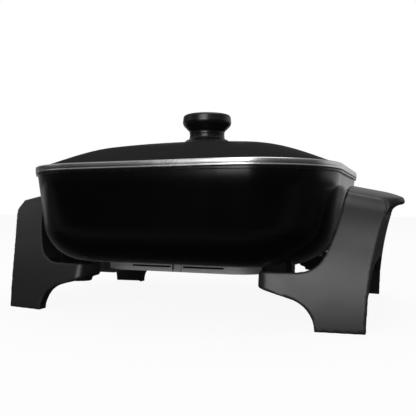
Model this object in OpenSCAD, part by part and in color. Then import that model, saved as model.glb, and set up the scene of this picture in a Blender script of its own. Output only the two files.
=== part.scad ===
// Square electric skillet: a cast pan on two leg-and-handle mouldings, with a lift-off domed lid.
// Millimetres, +Z up. The origin is on the table under the middle of the pan. The front faces -Y.

/* [Pan] */
// Outside width and depth of the pan's rim
pan_w = 305; // [285:1:325]
// Corner radius of the rim in plan
rim_corner_r = 87; // [80:0.5:95]
// Height of the rim's top face above the table
rim_top_z = 134.1; // [130:0.1:138]
// Height of the pan's underside above the table
pan_bottom_z = 49.3; // [48:0.1:51]
// Thickness of the pan's wall and floor
pan_t = 5; // [4:0.1:6]
// Outward lean of the pan's wall, in degrees
wall_draft = 7.5; // [5:0.5:9]
// Outside radius between the pan's wall and its floor
pan_fillet_r = 40; // [34:0.5:44]
// Thickness of the rim's lip
lip_t = 2; // [1.5:0.1:3]
// How far the lip stands out from the wall
lip_out = 1.7; // [1.2:0.1:2.5]

/* [Heat ring] */
// Distance of the aluminium ring's sides in from the pan's rim
ring_in_x = 64.5; // [62.5:0.5:67]
// Distance of the ring's front and back in from the pan's rim
ring_in_y = 70.5; // [68.5:0.5:73]
// Height of the ring's wall
ring_h = 9.7; // [8.5:0.1:11]
// Corner radius of the ring in plan
ring_corner_r = 35; // [28:1:40]
// Thickness of the ring's wall
ring_t = 2.6; // [2.2:0.1:3]
// Height of the long grooves in the ring's front and back
groove_h = 1.8; // [1.2:0.1:2.4]
// Distance from the ring's middle to a groove's far end
groove_reach = 47.5; // [40:0.5:50]
// Width of the recess in the middle of the ring's front and back
notch_w = 8.6; // [6:0.1:12]

/* [Heating element] */
// Diameter of the sheathed heating element
element_d = 6.6; // [6:0.1:7.2]
// Width of the element's loop, between centre lines
loop_w = 132; // [120:1:136]
// Depth of the element's loop, between centre lines
loop_d = 88; // [80:1:92]
// Bend radius at the loop's corners
loop_r = 26; // [20:1:28]
// Height above the table of the two terminals and of the probe's bore
terminal_z = 38.8; // [38:0.1:39.5]
// Distance between the two terminals
terminal_pitch = 27; // [26:0.5:30]
// Diameter of a terminal pin
pin_d = 4.8; // [4:0.1:5]
// Free length of a terminal pin in front of its insulator
pin_reach = 20; // [16:0.5:22]
// Diameter of the bore that takes the control's probe
probe_bore_d = 8; // [6.5:0.1:8.5]
// Length of the probe's bore
probe_bore_l = 34; // [28:1:36]

/* [Probe socket guard] */
// Length of the guard along the probe
guard_l = 30; // [26:0.5:32]
// Width of the guard
guard_w = 46; // [45:0.5:50]
// Height of the guard
guard_h = 21.3; // [21:0.1:24]
// Thickness of the guard's sheet steel
guard_t = 1.5; // [1:0.1:2]

/* [Handles and legs] */
// How far a leg's outer corner stands out beyond the rim at the table
leg_out = 23.2; // [18:0.2:26]
// How far the handle's lip reaches beyond the rim
lip_reach = 51.5; // [48:0.5:56]
// Width of a leg at the table
leg_w = 40.5; // [36:0.5:46]
// Depth of a leg's edge, front to back
leg_edge = 11; // [9:0.5:13]
// Thickness of the moulded skin
skin_t = 3.2; // [2.5:0.1:4]
// Turn of the leg's face in plan, in degrees
leg_yaw = 6.7; // [4:0.1:8]
// How far the leg's face stands in from the pan's front, at its inner corner
leg_setback = 39.6; // [36:0.2:44]
// Radius of the curve by which a leg's face leans inwards
lean_r = 260; // [240:1:290]
// Radius of the curve by which a leg's outer edge flares outwards
flare_r = 330; // [310:1:380]
// Thickness of the end wall
end_wall_t = 5; // [4:0.1:6]
// Height of the grip lip's tip at its middle
lip_tip_z = 107.7; // [106:0.1:109]
// Thickness of the grip's lip
grip_t = 6.4; // [5:0.1:7]
// Slope of the handle's top, in degrees
top_slope = 11.6; // [10:0.2:13]
// Reach of an arm under the pan, measured in from the rim
arm_reach = 65.5; // [64:0.5:68]
// Depth of an arm's block, front to back
arm_depth = 36; // [34:0.5:38]
// Height of the arch between the front and back legs
side_arch_z = 49.8; // [47:0.1:53]
// Half the width of that arch
side_arch_w = 99; // [94:0.5:100]

/* [Fixings] */
// Thread diameter of the handle screws
screw_d = 5; // [4:0.1:5.5]
// Distance of a handle screw in from the pan's side
screw_in_x = 51.5; // [49.5:0.5:53.5]
// Distance of a handle screw in from the pan's front or back
screw_in_y = 64.5; // [62.5:0.5:65.5]
// Thread diameter of the small screws
small_screw_d = 3; // [2.6:0.1:3.5]

/* [Lid] */
// Height of the bright rim band
band_h = 6.1; // [5:0.1:8]
// Width of the rim band's top face
band_t = 3; // [2.5:0.1:4]
// Thickness of the dome's sheet
dome_t = 1.6; // [1.2:0.1:2.4]
// Width of the dome's curved shoulder, measured in from its edge
shoulder_w = 80; // [72:0.5:82]
// Radius of the dome's broad crown
crown_r = 1107; // [900:1:1400]
// Rise of the crown above the dome's edge
crown_rise = 27.4; // [24:0.2:32]
// How far the lid lifts
lid_lift = 120; // [60:5:200]

/* [Knob] */
// Largest diameter of the knob
knob_d = 53.2; // [50:0.2:56]
// Diameter of the knob's waist
waist_d = 38.2; // [36:0.2:40]
// Height of the knob above the lid's crown
knob_h = 36.8; // [35:0.1:40]
// Thread diameter of the knob's screw
knob_screw_d = 5; // [4:0.1:6]

/* [Hidden] */
$fn = 64;

eps = 0.01;
cut = 1;                       // how far a cutting shape runs past the face it cuts
big = 400;                     // longer than the whole skillet
slack = 0.1;                   // radial room round a screw or a pin in its hole
arc_steps = 12;
seat_gap = 0.3;                // the lid's clearance above the pan's lip

// Plan of the pan
half_w = pan_w / 2;
corner_c = half_w - rim_corner_r;
screw_x = half_w - screw_in_x;
screw_y = half_w - screw_in_y;
boss_rise = 10;                // how far a boss runs up before the pan's inside trims it

// Section of the pan, as a distance beyond the corner's axis and a height
fillet_z = pan_bottom_z + pan_fillet_r;
lip_low_z = rim_top_z - lip_t;
wall_top = rim_corner_r - lip_out;
fillet_c = wall_top - (lip_low_z - fillet_z) * tan(wall_draft) - pan_fillet_r / cos(wall_draft);
function wall_out(z) = wall_top - (lip_low_z - z) * tan(wall_draft);

// The heat ring, its grooves and its tabs
ring_w = pan_w - 2 * ring_in_x;
ring_d = pan_w - 2 * ring_in_y;
ring_low_z = pan_bottom_z - ring_h;
groove_up = 5;
groove_z = ring_low_z + groove_up;
groove_cut = 1.6;               // depth of a groove, and of the recess between two grooves
groove_gap = 2;
notch_h = 5.4;
window_side = 10;              // room in the ring's wall beyond each terminal
window_w = terminal_pitch + 2 * window_side;
tab_t = 1.5;
floor_bite = 3.2;
ring_tab_w = 12;
ring_tab_l = 12;
ring_tab_x = 45;
ring_tab_y = (ring_d - ring_tab_l - ring_t) / 2;

// The element and its clips
element_z = pan_bottom_z - element_d / 2 - slack;
clip_t = 1.2;
clip_z = element_z - element_d / 2 - clip_t;
clip_l = 30.6;
clip_w = 10;
clip_x = 22;
clip_past = 2.6;               // how far a clip runs past the element's outer side
clip_end_y = (loop_d + element_d) / 2 + clip_past;
clip_hole_in = 13;             // distance of a clip's screw in from the element
clip_y = loop_d / 2 - clip_hole_in;
clip_boss_r = 4;
clip_head_h = 1.4;
small_head_r = small_screw_d;
neck_r = 13;
neck_x = 53;

// The probe's socket, measured from the middle towards -X
probe_mouth = ring_w / 2;
probe_boss_t = 3.5;
probe_boss_r = probe_bore_d / 2 + probe_boss_t;
probe_boss_l = probe_bore_l + 4;
probe_clear = 0.6;
tab_l = 13;
tab_gap = 2;
guard_back = probe_mouth + tab_gap + tab_l;
guard_front = guard_back + guard_l;
guard_low_z = pan_bottom_z - guard_h;
insulator_r = 5.4;
insulator_flange_r = 6.6;
insulator_flange_t = 2;
insulator_out = 2.5;
insulator_front = guard_back + guard_t + insulator_out;
pin_neck_r = pin_d / 2 - 0.5;
pin_gap = 0.5;                 // between the insulator and the pin's full width
guard_screw_in = 5;
guard_screw_x = guard_back - tab_l / 2;
guard_screw_y = guard_w / 2 - guard_screw_in;

// Where the element's ends drop to the terminals
leg_end = guard_back - insulator_flange_t;
drop_x = neck_x + neck_r;
drop_run = 15;
drop_angle = atan2(drop_run, element_z - terminal_z);

// Handle outline as seen from the front, measured from the middle towards +X
foot_out_x = half_w + leg_out;
foot_in_x = foot_out_x - leg_w;
lug_h = 2.1;
arm_top_z = pan_bottom_z - lug_h;
arm_end_x = half_w - arm_reach;
arch_r = 26.6;
arch_drop = 0.7;
arch_c = [foot_in_x - arch_r, -arch_drop];
arch_slope = 16.4;
hug_r = 24;
hug_turn = 25;
hug_start = 60;
flank_r = 150;
hug_in = 32.6;
hug_c = [half_w - hug_in, arm_top_z + hug_r];
flank_c = hug_c + (hug_r - flank_r) * [cos(hug_turn), -sin(hug_turn)];
tip_r = grip_t / 2;
tip_c = [half_w + lip_reach - tip_r, lip_tip_z];
grip_r = 13.3;
grip_c = [foot_out_x + flare(tip_c[1] - tip_r - grip_r) + grip_r, tip_c[1] - tip_r - grip_r];
grip_turn = 170;               // where the end wall runs into the grip's underside
top_r = 95;
tip_turn = 25;
tip_skip = 1;                  // degrees left out where the top's curve takes over from the tip's
top_c = tip_c - (top_r - tip_r) * [sin(tip_turn), cos(tip_turn)];
top_in_x = flank_c[0] + sqrt(pow(flank_r, 2) - pow(top_z(half_w) - flank_c[1], 2));
function flare(z) = flare_r - sqrt(flare_r * flare_r - z * z);
function top_z(x) = top_c[1] + top_r / cos(top_slope) - (x - top_c[0]) * tan(top_slope);

// Leg face, measured square to the face from the middle
face_reach = foot_in_x * sin(leg_yaw) + (half_w - leg_setback) * cos(leg_yaw);
lean_z = 21.2;
lean_c = sqrt(lean_r * lean_r - lean_z * lean_z);
function lean(z) = lean_c - sqrt(lean_r * lean_r - pow(z + lean_z, 2));
roof_z = top_z(half_w - arm_reach / 2);
shoulder_drop = 6.3;
shoulder_z = tip_c[1] - shoulder_drop;
hollow_drop = 5;               // depth of the bevel between the end wall's inside and the top's
shoulder_r = 8;
shoulder_turn = 75;
bow_turn = 18;
top_bow_r = 380;
grip_inset = 0.4;
lip_plan_r = 36;
lip_y = 40;
side_arch_r = 36;
arm_start = 60;
arm_corner_r = 9.5;
rim_drop = 5;                   // how far the deep rim runs on below the arm's top
boss_r = 9.3;
boss_low_z = 27.6;
head_r = 4.6;
head_h = 2.8;
washer_t = 1;
washer_r = 5.4;
recess_r = 6;
recess_h = 5.5;
recess_top_z = boss_low_z + recess_h;
lug_w = 26;
lug_d = 24;
lug_shift = [1, 7.5];
lug_x = screw_x + lug_shift[0];
lug_y = screw_y + lug_shift[1];
lug_corner_r = 5;
block_short = 3;
arm_block_x = lug_x + lug_w / 2 - block_short; // beyond this the arm is only its skin

// Heights of the lid
band_low_z = rim_top_z + seat_gap;
band_top_z = band_low_z + band_h;
band_inset = 2.5;
band_floor_t = 1.2;
dome_edge_drop = 0.8;
dome_edge_z = band_top_z - dome_edge_drop;
dome_fullness = 2.1;            // power of the shoulder's curve
dome_foot_z = band_low_z + band_floor_t;
dome_corner_r = rim_corner_r - band_inset;
dome_rim_t = 2.2;
crown_z = dome_edge_z + crown_rise;
corner_steps = 10;
side_steps = 6;
ring_points = 4 * (corner_steps + side_steps);
locating_clear = 1;
locating_h = 4;
locating_r = wall_out(rim_top_z) - pan_t / cos(wall_draft) - locating_clear;

// Heights of the knob
collar_r = 30;
collar_h = 11.5;
collar_edge_t = 1;
collar_flare_r = 3.9;
knob_low_z = crown_z + collar_h;
knob_top_z = crown_z + knob_h;
belly_r = 7;
belly_drop = 9.3;
belly_z = knob_top_z - belly_drop;
knob_edge_r = 3;
knob_edge_drop = 4.7;
knob_edge_z = knob_top_z - knob_edge_drop;
knob_taper = 0.5;
waist_round_r = 3.5;
cone_turn = 45;
knob_groove_up = 2.2;
knob_groove_z = knob_low_z + knob_groove_up;
knob_groove = 0.6;
insert_r = 5;
insert_l = 14;
insert_end_t = 2;
screw_short = 4;                // how far the knob's screw ends short of the insert's top
crown_sag = 0.2;                // the sheet's fall over the washer's radius
washer_top_z = crown_z - dome_t - crown_sag;
knob_washer_r = 9;
knob_washer_t = 1.2;

function arc(c, r, a0, a1, n = arc_steps) =
  [for (i = [0:n]) let (a = a0 + (a1 - a0) * i / n) c + r * [cos(a), sin(a)]];

// ---- Shared shapes ----

// Sweeps a half section, drawn beyond the corner's axis, round a square with round corners
module round_square(c) {
  for (turn = [0:90:270]) rotate(turn) {
    translate([c, c, 0]) rotate_extrude(angle = 90) children();
    translate([c, c, 0]) rotate([90, 0, 0]) linear_extrude(2 * c) children();
  }
}

// A flat plate in plan with round corners
module round_plate(w, d, r, z0, z1) {
  translate([0, 0, z0]) linear_extrude(z1 - z0) {
    square([w - 2 * r, d], center = true);
    square([w, d - 2 * r], center = true);
    for (x = [-1, 1], y = [-1, 1]) translate([x * (w / 2 - r), y * (d / 2 - r)]) circle(r);
  }
}

// The same plan as a wall
module round_wall(w, d, r, t, z0, z1) {
  difference() {
    round_plate(w, d, r, z0, z1);
    round_plate(w - 2 * t, d - 2 * t, r - t, z0 - cut, z1 + cut);
  }
}

module at_each_corner(x, y) {
  for (sx = [-1, 1], sy = [-1, 1]) translate([sx * x, sy * y, 0]) children();
}

module post(r, z0, z1) {
  translate([0, 0, z0]) cylinder(r = r, h = z1 - z0);
}

// A round bar along X, from x0 to x1 on the -X side
module bar_x(r, x0, x1) {
  translate([-x1, 0, 0]) rotate([0, 90, 0]) cylinder(r = r, h = x1 - x0);
}

// A pan-head screw that points up, with the underside of its head at z = 0
module screw(d, hr, hh, length) {
  post(d / 2, 0, length);
  post(hr, -hh, 0);
}

// ---- Pan ----

// The filled half section of the pan, set in by t from its outside
module pan_fill(t, top_z) {
  r = pan_fillet_r - t;
  set_in = t / cos(wall_draft);
  polygon(concat(
    [[0, top_z], [0, pan_bottom_z + t]],
    arc([fillet_c, fillet_z], r, -90, -wall_draft),
    [[wall_out(top_z) - set_in, top_z]]
  ));
}

module pan_shell() {
  round_square(corner_c) {
    difference() {
      pan_fill(0, rim_top_z);
      pan_fill(pan_t, rim_top_z + cut);
    }
    translate([wall_top - pan_t, lip_low_z]) square([rim_corner_r - wall_top + pan_t, lip_t]);
  }
  translate([-corner_c, -corner_c, pan_bottom_z]) cube([2 * corner_c, 2 * corner_c, pan_t]);
}

// Under-floor bosses that carry the legs, the clips and the probe
module pan_bosses() {
  translate([0, 0, arm_top_z]) linear_extrude(boss_rise) at_each_corner(lug_x, lug_y) {
    square([lug_w - 2 * lug_corner_r, lug_d], center = true);
    square([lug_w, lug_d - 2 * lug_corner_r], center = true);
    at_each_corner(lug_w / 2 - lug_corner_r, lug_d / 2 - lug_corner_r) circle(lug_corner_r);
  }
  at_each_clip() post(clip_boss_r, clip_z + clip_t, pan_bottom_z + eps);
  translate([0, 0, terminal_z]) bar_x(probe_boss_r, probe_mouth - probe_boss_l, probe_mouth);
  translate([-probe_mouth, -probe_boss_r, terminal_z])
    cube([probe_boss_l, 2 * probe_boss_r, pan_bottom_z - terminal_z + eps]);
}

module at_each_clip() {
  at_each_corner(clip_x, clip_y) children();
}

module at_each_guard_screw() {
  for (sy = [-1, 1]) translate([-guard_screw_x, sy * guard_screw_y, 0]) children();
}

// A blind screw hole in the pan's floor
module floor_hole(d, bite) {
  post(d / 2 + slack, arm_top_z - cut, pan_bottom_z + bite);
}

module pan() {
  color([0.03, 0.03, 0.035]) difference() {
    union() {
      pan_shell();
      difference() {
        pan_bosses();
        round_square(corner_c) pan_fill(pan_t / 2, rim_top_z);
        translate([-corner_c, -corner_c, pan_bottom_z + pan_t / 2]) cube([2 * corner_c, 2 * corner_c, pan_t]);
      }
    }
    at_each_corner(screw_x, screw_y) floor_hole(screw_d, floor_bite);
    at_each_clip() post(small_screw_d / 2 + slack, clip_z, pan_bottom_z + floor_bite / 2);
    at_each_guard_screw() floor_hole(small_screw_d, floor_bite);
    at_each_corner(ring_tab_x, ring_tab_y) floor_hole(small_screw_d, floor_bite);
    translate([0, 0, terminal_z]) bar_x(probe_bore_d / 2, probe_mouth - probe_bore_l, probe_mouth + cut);
  }
}

// ---- Heating ----

module heat_ring() {
  groove_l = groove_reach - notch_w / 2 - groove_gap;
  groove_x = groove_reach - groove_l / 2;
  color([0.62, 0.62, 0.62]) difference() {
    union() {
      round_wall(ring_w, ring_d, ring_corner_r, ring_t, ring_low_z, pan_bottom_z);
      at_each_corner(ring_tab_x, ring_tab_y) translate([-ring_tab_w / 2, -ring_tab_l / 2, pan_bottom_z - tab_t])
        cube([ring_tab_w, ring_tab_l, tab_t]);
    }
    at_each_corner(groove_x, ring_d / 2) translate([0, 0, groove_z])
      cube([groove_l, 2 * groove_cut, groove_h], center = true);
    for (sy = [-1, 1]) translate([0, sy * ring_d / 2, groove_z])
      cube([notch_w, 2 * groove_cut, notch_h], center = true);
    translate([-ring_w / 2 - cut, -window_w / 2, ring_low_z - cut])
      cube([ring_t + 2 * cut, window_w, ring_h + 2 * cut]);
    at_each_corner(ring_tab_x, ring_tab_y)
      post(small_screw_d / 2 + slack, pan_bottom_z - tab_t - cut, pan_bottom_z + cut);
  }
}

module ring_screws() {
  color([0.75, 0.75, 0.75]) at_each_corner(ring_tab_x, ring_tab_y) floor_screw();
}

// A small screw that holds a tab to the pan's floor
module floor_screw() {
  translate([0, 0, pan_bottom_z - tab_t]) screw(small_screw_d, small_head_r, clip_head_h, tab_t + floor_bite - slack);
}

// A bend of the element about a point, from angle a0 over a further sweep
module bend(centre, r, a0, sweep) {
  translate(centre) rotate(a0) rotate_extrude(angle = sweep) translate([r, 0]) circle(element_d / 2);
}

// A straight length of the element between two points on a line parallel to X
module run_x(x0, x1, y, z) {
  translate([x0, y, z]) rotate([0, 90, 0]) cylinder(r = element_d / 2, h = x1 - x0);
}

// The same parallel to Y, in the loop's plane
module run_y(y0, y1, x) {
  translate([x, y0, element_z]) rotate([-90, 0, 0]) cylinder(r = element_d / 2, h = y1 - y0);
}

// One half of the element, from the loop's right side to its terminal
module element_half() {
  far_x = loop_w / 2 - loop_r;
  near_x = neck_r - neck_x;
  bend([far_x, loop_d / 2 - loop_r, element_z], loop_r, 0, 90);
  run_x(near_x, far_x, loop_d / 2, element_z);
  bend([near_x, loop_d / 2 - neck_r, element_z], neck_r, 90, 90);
  run_y(terminal_pitch / 2 + neck_r, loop_d / 2 - neck_r, -neck_x);
  bend([-neck_x - neck_r, terminal_pitch / 2 + neck_r, element_z], neck_r, 270, 90);
  translate([-drop_x, terminal_pitch / 2, element_z]) {
    sphere(element_d / 2);
    rotate([0, drop_angle - 180, 0]) cylinder(r = element_d / 2, h = drop_run / sin(drop_angle));
    translate([-drop_run, 0, terminal_z - element_z]) sphere(element_d / 2);
  }
  run_x(-leg_end, -drop_x - drop_run, terminal_pitch / 2, terminal_z);
}

module heating_element() {
  color([0.45, 0.44, 0.42]) {
    for (m = [0, 1]) mirror([0, m, 0]) element_half();
    run_y(loop_r - loop_d / 2, loop_d / 2 - loop_r, loop_w / 2);
  }
}

module element_clips() {
  color([0.7, 0.7, 0.7]) difference() {
    at_each_corner(clip_x, clip_end_y - clip_l / 2)
      translate([-clip_w / 2, -clip_l / 2, clip_z]) cube([clip_w, clip_l, clip_t]);
    at_each_clip() post(small_screw_d / 2 + slack, clip_z - cut, clip_z + clip_t + cut);
  }
}

module clip_screws() {
  color([0.75, 0.75, 0.75]) at_each_clip() translate([0, 0, clip_z])
    screw(small_screw_d, small_head_r, clip_head_h, pan_bottom_z - clip_z);
}

module at_each_terminal() {
  for (sy = [-1, 1]) translate([0, sy * terminal_pitch / 2, terminal_z]) children();
}

// Each pin is full width outside its insulator and has a thinner neck inside it
module terminal_pins() {
  color([0.8, 0.8, 0.8]) at_each_terminal() {
    bar_x(pin_neck_r, leg_end, insulator_front + pin_gap + eps);
    bar_x(pin_d / 2, insulator_front + pin_gap, insulator_front + pin_reach);
  }
}

module terminal_insulators() {
  color([0.9, 0.88, 0.82]) at_each_terminal() difference() {
    union() {
      bar_x(insulator_flange_r, leg_end, guard_back);
      bar_x(insulator_r, guard_back - eps, insulator_front);
    }
    bar_x(pin_neck_r + slack / 2, leg_end - cut, insulator_front + cut);
  }
}

// A sheet box, open towards -X, with a tab that is screwed to the pan's floor
module probe_guard() {
  color([0.06, 0.06, 0.06]) difference() {
    union() {
      translate([-guard_front, -guard_w / 2, guard_low_z]) cube([guard_l, guard_w, guard_h]);
      translate([-guard_back, -guard_w / 2, pan_bottom_z - tab_t]) cube([tab_l + eps, guard_w, tab_t]);
    }
    translate([-guard_front - cut, -guard_w / 2 + guard_t, guard_low_z + guard_t])
      cube([guard_l - guard_t + cut, guard_w - 2 * guard_t, guard_h - 2 * guard_t]);
    at_each_terminal() bar_x(insulator_r + slack, guard_back - cut, guard_back + guard_t + cut);
    translate([0, 0, terminal_z]) bar_x(probe_bore_d / 2 + probe_clear, guard_back - cut, guard_back + guard_t + cut);
    at_each_guard_screw() post(small_screw_d / 2 + slack, pan_bottom_z - tab_t - cut, pan_bottom_z + cut);
  }
}

module guard_screws() {
  color([0.75, 0.75, 0.75]) at_each_guard_screw() floor_screw();
}

// ---- Handles and legs ----

// The inner edge of the leg seen from the front, set in by t: the arch, then the curve round the pan
function inner_edge(t) = concat(
  arc(arch_c, arch_r + t, 0, arm_start),
  arc(hug_c, hug_r + t, -hug_start, -hug_turn, 6),
  arc(flank_c, flank_r + t, -hug_turn, 0)
);

// The leg's outer edge seen from the front, from its round shoulder down to the foot
function outer_edge() =
  let (c = [foot_out_x + flare(shoulder_z) - shoulder_r, shoulder_z])
  concat(
    [[c[0] + shoulder_r * cos(shoulder_turn), roof_z]],
    arc(c, shoulder_r, shoulder_turn, 0, 6),
    [for (i = [arc_steps - 1:-1:0]) let (z = shoulder_z * i / arc_steps) [foot_out_x + flare(z), z]]
  );

// The leg's outline seen from the front, without its arm
function leg_outline() = concat(
  [[foot_in_x, 0]],
  inner_edge(0),
  [[flank_c[0] + flank_r, roof_z]],
  outer_edge()
);

// What lies outward of the leg's inner rim
function rim_pocket() = concat(
  [[foot_in_x + skin_t, -cut]],
  inner_edge(skin_t),
  [[flank_c[0] + flank_r + skin_t, roof_z], [big, roof_z], [big, -cut]]
);

// The arm's lower edge seen from the front, as far as x and set in by t
function arm_underside(x, t) = concat(
  arc(arch_c, arch_r + t, arm_start, 90 - arch_slope, 4),
  [[x, arch_c[1] + (arch_r + t) / cos(arch_slope) + (arch_c[0] - x) * tan(arch_slope)]]
);

// The arm's outline seen from the front, run on past its end
function arm_outline() =
  let (end = arm_end_x - arm_corner_r)
  concat(
    arm_underside(end, 0),
    [[end, arm_top_z], [hug_c[0], arm_top_z]],
    arc(hug_c, hug_r, -90, -hug_start, 6)
  );

// The rim along the arm's lower edge, between the arch and the arm's block
function arm_rim() =
  let (inner = arm_underside(arm_block_x - cut, skin_t))
  concat(arm_underside(arm_block_x - cut, 0), [for (i = [len(inner) - 1:-1:0]) inner[i]]);

// Extrudes an outline drawn in X and Z along the whole depth
module through_y() {
  rotate([90, 0, 0]) linear_extrude(2 * big, center = true) children();
}

// A slice of the leg, between two depths behind its leaning face
module face_slice(from, to) {
  steps = 2 * arc_steps;
  rotate(leg_yaw) rotate([90, 0, 90]) linear_extrude(2 * big, center = true) polygon(concat(
    [for (i = [0:steps]) let (z = roof_z * i / steps) [lean(z) - face_reach + from, z]],
    [for (i = [steps:-1:0]) let (z = roof_z * i / steps) [lean(z) - face_reach + to, z]]
  ));
}

// Everything that lies at least t under the handle's sloping top, which bows from front to back
module under_top(t) {
  translate([half_w, 0, top_z(half_w)]) rotate([0, top_slope, 0]) rotate([90, 0, 90])
    linear_extrude(2 * big, center = true) polygon(concat(
      [[-big / 2, -big]],
      arc([0, -top_bow_r], top_bow_r - t, 90 + bow_turn, 90 - bow_turn, 2 * arc_steps),
      [[big / 2, -big]]
    ));
}

// The leg's skin, with a rim along its inner edge that runs deeper where it hugs the pan
module front_leg() {
  intersection() {
    through_y() polygon(leg_outline());
    union() {
      face_slice(0, skin_t);
      difference() {
        intersection() {
          face_slice(skin_t - eps, arm_depth);
          union() {
            translate([0, -big, arm_top_z - rim_drop]) cube([big, 2 * big, big]);
            face_slice(0, leg_edge);
          }
        }
        through_y() polygon(rim_pocket());
      }
    }
    under_top(0);
  }
}

// The block that carries the leg's screw, with a round corner at its end
module front_arm() {
  difference() {
    intersection() {
      through_y() polygon(arm_outline());
      union() {
        face_slice(0, skin_t);
        intersection() {
          face_slice(0, leg_edge);
          through_y() polygon(arm_rim());
        }
        intersection() {
          face_slice(0, arm_depth);
          translate([0, -big, 0]) cube([arm_block_x, big, big]);
        }
      }
    }
    arm_corner();
  }
  translate([screw_x, -screw_y, 0]) post(boss_r, boss_low_z, arm_top_z - cut);
}

// What the arm's end and its round corner leave over, leaning with the face
module arm_corner() {
  mid_z = (boss_low_z + arm_top_z) / 2;
  end = (arm_end_x - face_reach * sin(leg_yaw)) / cos(leg_yaw);
  rotate(leg_yaw) translate([end, lean(mid_z) - face_reach, mid_z])
    rotate([-asin((mid_z + lean_z) / lean_r), 0, 0]) difference() {
      translate([-big / 2, -big / 2, -big / 2]) cube([big / 2 + arm_corner_r, big, big]);
      translate([arm_corner_r, arm_corner_r, -big / 2]) cylinder(r = arm_corner_r, h = big);
      translate([0, arm_corner_r, -big / 2]) cube([big, big, big]);
    }
  translate([arm_end_x - big, -big / 2, -cut]) cube(big);
}

// The curved end wall with its lip, and the handle's top
module grip() {
  intersection() {
    difference() {
      intersection() {
        through_y() polygon(concat(
          [for (i = [0:arc_steps]) let (z = grip_c[1] * i / arc_steps) [foot_out_x + flare(z), z]],
          arc(grip_c, grip_r, grip_turn, 90),
          arc(tip_c, tip_r, -90, 90 - tip_turn, 6),
          arc(top_c, top_r, 90 + tip_skip - tip_turn, 90 - top_slope, 6),
          [[top_in_x, top_z(top_in_x)], [top_in_x, 0]]
        ));
        under_top(0);
      }
      grip_hollow();
    }
    face_slice(grip_inset, big / 2);
    mirror([0, 1, 0]) face_slice(grip_inset, big / 2);
    lip_plan();
  }
}

// The space behind the end wall and under the top, and the arch between the front and back legs
module grip_hollow() {
  wall_top_z = top_z(foot_out_x) - end_wall_t - hollow_drop;
  intersection() {
    through_y() polygon(concat(
      [[0, -cut], [foot_out_x - end_wall_t, -cut]],
      [for (i = [0:arc_steps]) let (z = wall_top_z * i / arc_steps) [foot_out_x + flare(z) - end_wall_t, z]],
      [[foot_out_x, top_z(foot_out_x) - end_wall_t], [0, top_z(0) - end_wall_t]]
    ));
    under_top(end_wall_t);
  }
  side_arch();
}

// Round ends for the lip in plan, beyond the leg's own outline
module lip_plan() {
  x = tip_c[0] + tip_r - lip_plan_r;
  linear_extrude(big) {
    translate([0, -lip_y]) square([x + lip_plan_r, 2 * lip_y]);
    translate([0, -lip_y - lip_plan_r]) square([x, 2 * (lip_y + lip_plan_r)]);
    for (sy = [-1, 1]) translate([x, sy * lip_y]) circle(lip_plan_r);
  }
  through_y() polygon(concat([[0, -cut], [0, roof_z]], outer_edge(), [[foot_out_x, -cut]]));
}

// The opening between the front and back legs
module side_arch() {
  c = [side_arch_w - side_arch_r, side_arch_z - side_arch_r];
  rotate([90, 0, 90]) linear_extrude(big) polygon(concat(
    [[side_arch_w, -cut]],
    arc(c, side_arch_r, 0, 90),
    arc([-c[0], c[1]], side_arch_r, 90, 180),
    [[-side_arch_w, -cut]]
  ));
}

module one_handle() {
  difference() {
    union() {
      for (m = [0, 1]) mirror([0, m, 0]) {
        front_leg();
        front_arm();
      }
      grip();
    }
    for (sy = [-1, 1]) translate([screw_x, sy * screw_y, 0]) {
      post(screw_d / 2 + 2 * slack, boss_low_z, arm_top_z + cut);
      post(recess_r, boss_low_z - cut, recess_top_z);
    }
  }
}

module right_handle() {
  color([0.13, 0.13, 0.13]) one_handle();
}

module left_handle() {
  color([0.13, 0.13, 0.13]) mirror([1, 0, 0]) one_handle();
}

module handle_screws() {
  color([0.7, 0.7, 0.7]) at_each_corner(screw_x, screw_y) translate([0, 0, recess_top_z - washer_t])
    screw(screw_d, head_r, head_h, pan_bottom_z + floor_bite - slack - recess_top_z + washer_t);
}

module handle_washers() {
  color([0.75, 0.75, 0.75]) at_each_corner(screw_x, screw_y) difference() {
    post(washer_r, recess_top_z - washer_t, recess_top_z);
    post(screw_d / 2 + slack, recess_top_z - washer_t - cut, recess_top_z + cut);
  }
}

// ---- Lid ----

// Height of the dome's top face at a plan position, a distance d in from its edge
function dome_z(p, d) =
  let (crown = crown_rise - crown_r + sqrt(crown_r * crown_r - p[0] * p[0] - p[1] * p[1]))
  dome_edge_z + crown * (1 - pow(1 - min(d / shoulder_w, 1), dome_fullness));

// Point i of the plan contour that lies a distance d in from the dome's edge
function contour(i, d) =
  let (
    per = corner_steps + side_steps,
    q = floor(i / per),
    j = i - q * per,
    a = 90 * q,
    r = dome_corner_r - d,
    u = corner_c * (1 - 2 * max(j - corner_steps, 0) / side_steps),
    bend = 90 * min(j, corner_steps) / corner_steps,
    x = (j > corner_steps ? u : corner_c) + r * cos(bend),
    y = corner_c + r * sin(bend)
  )
  [x * cos(a) - y * sin(a), x * sin(a) + y * cos(a)];

// One ring of the dome's mesh: a contour shrunk by s, and dropped by t or put at a fixed height
function dome_ring(d, s, t, z) =
  [for (i = [0:ring_points - 1]) let (p = s * contour(i, d)) [p[0], p[1], is_undef(z) ? dome_z(p, d) - t : z]];

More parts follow.
